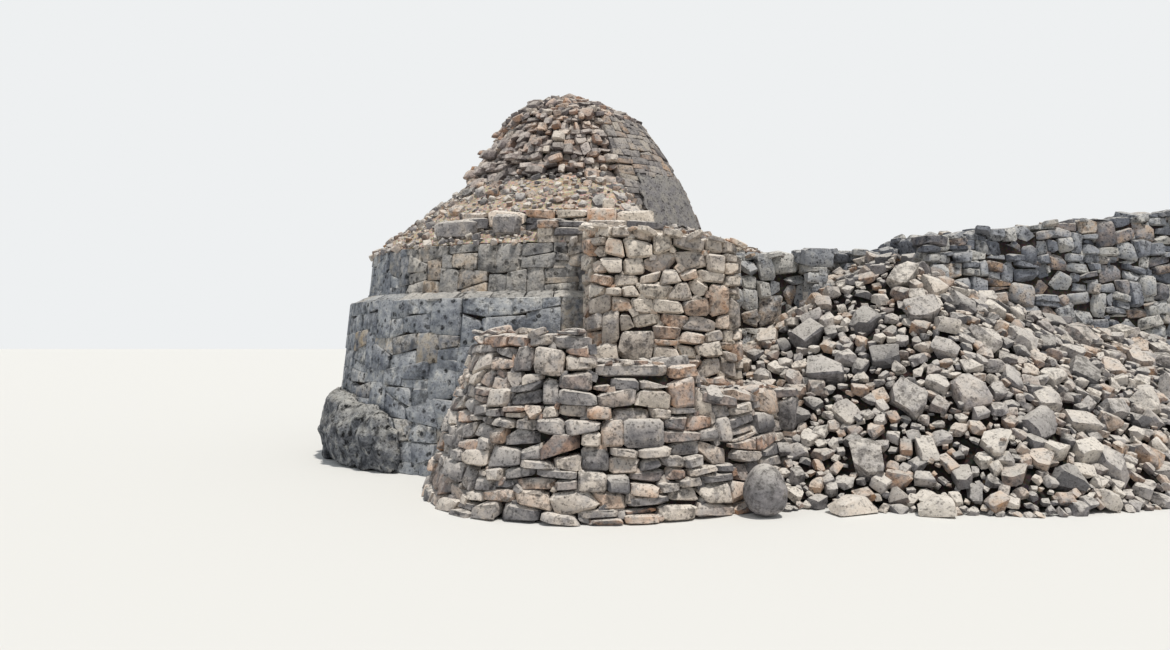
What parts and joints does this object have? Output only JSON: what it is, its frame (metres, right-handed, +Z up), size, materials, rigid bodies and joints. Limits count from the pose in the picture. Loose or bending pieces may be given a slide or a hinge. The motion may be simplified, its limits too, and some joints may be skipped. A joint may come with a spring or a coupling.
{
  "type": "trullo house",
  "caption": "Ruined round dry-stone house: stepped drum, broken cone over a corbelled chamber, low doorway, buttress, curved front wall, terrace wall and fallen rubble.",
  "frame": {"origin": "middle of the footprint's box, on the ground", "axes": "+X along the terrace wall's long side, -Y towards the side with the curved front wall, +Z up; the doorway faces +Y"},
  "size_m": [11.5331, 8.56, 4.89],
  "materials": {
    "weathered_grey_limestone": "rough, pitted and lichen-stained",
    "dressed_limestone": "hammer-dressed, worn",
    "chamber_limestone": "rough, dry-laid",
    "cone_facing_limestone": "rough, small and tightly laid",
    "core_rubble": "rough rubble",
    "earth_and_rubble": "loose earth and stone chips",
    "lime_render": "matt, weathered",
    "cream_limestone": "sun-bleached, rough",
    "terrace_limestone": "rough, weathered",
    "fallen_limestone": "loose, angular"
  },
  "bodies": {
    "root": {"lower_wall_right": "weathered_grey_limestone", "lower_wall_back_right": "weathered_grey_limestone", "lower_wall_back_left": "weathered_grey_limestone", "lower_wall_left": "weathered_grey_limestone", "lower_wall_front_left": "weathered_grey_limestone", "lower_wall_front": "weathered_grey_limestone", "lower_wall_front_right": "weathered_grey_limestone", "wall_over_door": "weathered_grey_limestone", "upper_wall_right": "weathered_grey_limestone", "upper_wall_back": "weathered_grey_limestone", "upper_wall_left": "weathered_grey_limestone", "upper_wall_front": "weathered_grey_limestone", "rock_bench": "weathered_grey_limestone", "door_jambs": "dressed_limestone", "outer_lintel": "dressed_limestone", "passage_lintels": "dressed_limestone", "door_sill": "dressed_limestone", "chamber_wall_right": "chamber_limestone", "chamber_wall_left": "chamber_limestone", "chamber_wall_front": "chamber_limestone", "dome_lower": "chamber_limestone", "dome_middle": "chamber_limestone", "dome_upper": "chamber_limestone", "closing_stone": "chamber_limestone", "cone_facing_right": "cone_facing_limestone", "cone_facing_back": "cone_facing_limestone", "cone_facing_left": "cone_facing_limestone", "core_behind_facing": "core_rubble", "bare_core": "core_rubble", "crown": "core_rubble", "high_bank": "earth_and_rubble", "low_bank": "earth_and_rubble", "front_fill": "earth_and_rubble", "render_coat": "lime_render", "bank_kerb": "cream_limestone", "buttress": "cream_limestone", "front_wall_left": "cream_limestone", "front_wall_nose": "cream_limestone", "front_wall_middle": "cream_limestone", "front_wall_right": "cream_limestone", "boulders": "cream_limestone", "terrace_wall_near": "terrace_limestone", "terrace_wall_breach": "terrace_limestone", "terrace_wall_far": "terrace_limestone", "rubble_heap": "fallen_limestone"}
  },
  "joints": []
}
